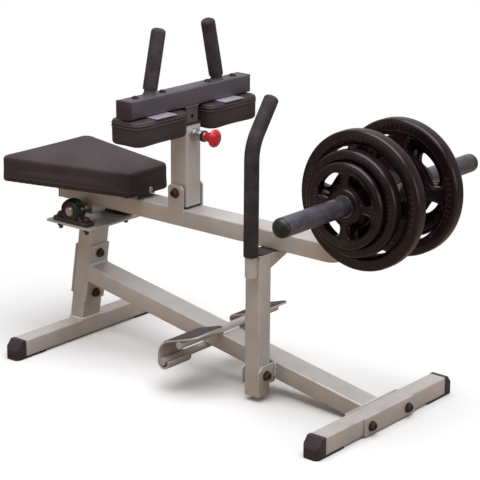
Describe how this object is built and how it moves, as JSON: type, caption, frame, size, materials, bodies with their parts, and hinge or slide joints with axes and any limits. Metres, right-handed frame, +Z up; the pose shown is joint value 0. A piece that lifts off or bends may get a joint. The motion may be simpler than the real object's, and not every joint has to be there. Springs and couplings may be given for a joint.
{
  "type": "seated calf raise machine",
  "caption": "Plate loaded lever machine for seated calf raises, with a seat, a thigh pad carriage, hand grips, a foot rest, a side catch and weight plates.",
  "frame": {"origin": "centre of the machine's box, on the floor", "axes": "+Z up, +Y from the weights to the seat, +X towards the side without the catch"},
  "size_m": [0.8526, 1.3942, 0.9772],
  "materials": {
    "silver_paint": "satin silver powder coat",
    "crossbar_paint": "satin dark grey powder coat",
    "plate_zinc": "satin light grey coat",
    "boot_rubber": "matte black rubber",
    "black_vinyl": "matte black vinyl with a fine grain",
    "foam": "matte black foam",
    "weight_rubber": "cast iron in a satin black rubber coat",
    "sleeve_steel": "dark satin steel",
    "bolt_steel": "black oxide",
    "cast_housing": "dark painted casting",
    "bright_steel": "bright turned steel",
    "black_plastic": "matte black plastic",
    "red_plastic": "glossy red plastic"
  },
  "bodies": {
    "frame": {"front_stabilizer": "silver_paint", "rear_stabilizer": "silver_paint", "boot_front_right": "boot_rubber", "boot_front_left": "boot_rubber", "boot_rear_right": "boot_rubber", "boot_rear_left": "boot_rubber", "main_beam": "silver_paint", "front_clamp_plate": "silver_paint", "front_bolt_right": "bolt_steel", "front_bolt_left": "bolt_steel", "rear_post": "silver_paint", "rear_clamp_plate": "silver_paint", "rear_bolt_lower": "bolt_steel", "rear_bolt_upper": "bolt_steel", "bearing_plate": "silver_paint", "pillow_block_right": "cast_housing", "pillow_block_left": "cast_housing", "bearing_insert_right": "bright_steel", "bearing_insert_left": "bright_steel", "upper_foot_rod": "silver_paint", "lower_foot_rod": "silver_paint", "foot_plate_right": "silver_paint", "foot_plate_left": "silver_paint", "catch_bolt": "bolt_steel"},
    "lever": {"pivot_shaft": "bright_steel", "lever_arm": "silver_paint", "arm_rear_plug": "black_plastic", "arm_front_plug": "black_plastic", "weight_axle": "sleeve_steel", "sleeve_cap_right": "black_plastic", "sleeve_cap_left": "black_plastic", "seat_channel": "silver_paint", "seat_cushion": "black_vinyl", "thigh_post": "silver_paint", "post_foot_cap": "black_plastic", "post_bush": "black_plastic", "bracket_bolt": "bolt_steel", "pin_barrel": "bright_steel"},
    "pad_carriage": {"inner_post": "crossbar_paint", "crossbar": "crossbar_paint", "crossbar_cap_right": "black_plastic", "crossbar_cap_left": "black_plastic", "pad_plate_right": "plate_zinc", "pad_plate_left": "plate_zinc", "thigh_pad_right": "black_vinyl", "thigh_pad_left": "black_vinyl", "hand_grip_right": "foam", "hand_grip_left": "foam"},
    "height_pin": {"pop_pin": "bright_steel", "pin_knob": "red_plastic"},
    "catch": {"catch_post": "silver_paint", "catch_rest_pad": "boot_rubber", "catch_handle": "silver_paint", "catch_grip": "foam"},
    "large_weight_right": {"weight_large_right": "weight_rubber"},
    "medium_weight_right": {"weight_medium_right": "weight_rubber"},
    "small_weight_right": {"weight_small_right": "weight_rubber"},
    "large_weight_left": {"weight_large_left": "weight_rubber"},
    "medium_weight_left": {"weight_medium_left": "weight_rubber"},
    "small_weight_left": {"weight_small_left": "weight_rubber"}
  },
  "joints": [
    {"name": "arm_swing", "type": "hinge", "parent": "frame", "child": "lever", "pos_m": [0, 0.49812, 0.4048], "axis": [-1, 0, 0], "range_deg": [0, 14]},
    {"name": "catch_swing", "type": "hinge", "parent": "frame", "child": "catch", "pos_m": [-0.076, -0.18088, 0.074], "axis": [0, -1, 0], "range_deg": [0, 25]},
    {"name": "pad_height", "type": "slide", "parent": "lever", "child": "pad_carriage", "axis": [0, 0, 1], "range_m": [0, 0.125]},
    {"name": "pin_pull", "type": "slide", "parent": "lever", "child": "height_pin", "axis": [0, -1, 0], "range_m": [0, 0.01], "stiffness_N_per_m": 1000, "springref_m": -0.003},
    {"name": "large_right_slide", "type": "slide", "parent": "lever", "child": "large_weight_right", "axis": [-1, 0, 0], "range_m": [0, 0.05]},
    {"name": "medium_right_slide", "type": "slide", "parent": "large_weight_right", "child": "medium_weight_right", "axis": [-1, 0, 0], "range_m": [0, 0.05]},
    {"name": "small_right_slide", "type": "slide", "parent": "medium_weight_right", "child": "small_weight_right", "axis": [-1, 0, 0], "range_m": [0, 0.1]},
    {"name": "large_left_slide", "type": "slide", "parent": "lever", "child": "large_weight_left", "axis": [1, 0, 0], "range_m": [0, 0.05]},
    {"name": "medium_left_slide", "type": "slide", "parent": "large_weight_left", "child": "medium_weight_left", "axis": [1, 0, 0], "range_m": [0, 0.05]},
    {"name": "small_left_slide", "type": "slide", "parent": "medium_weight_left", "child": "small_weight_left", "axis": [1, 0, 0], "range_m": [0, 0.1]}
  ]
}
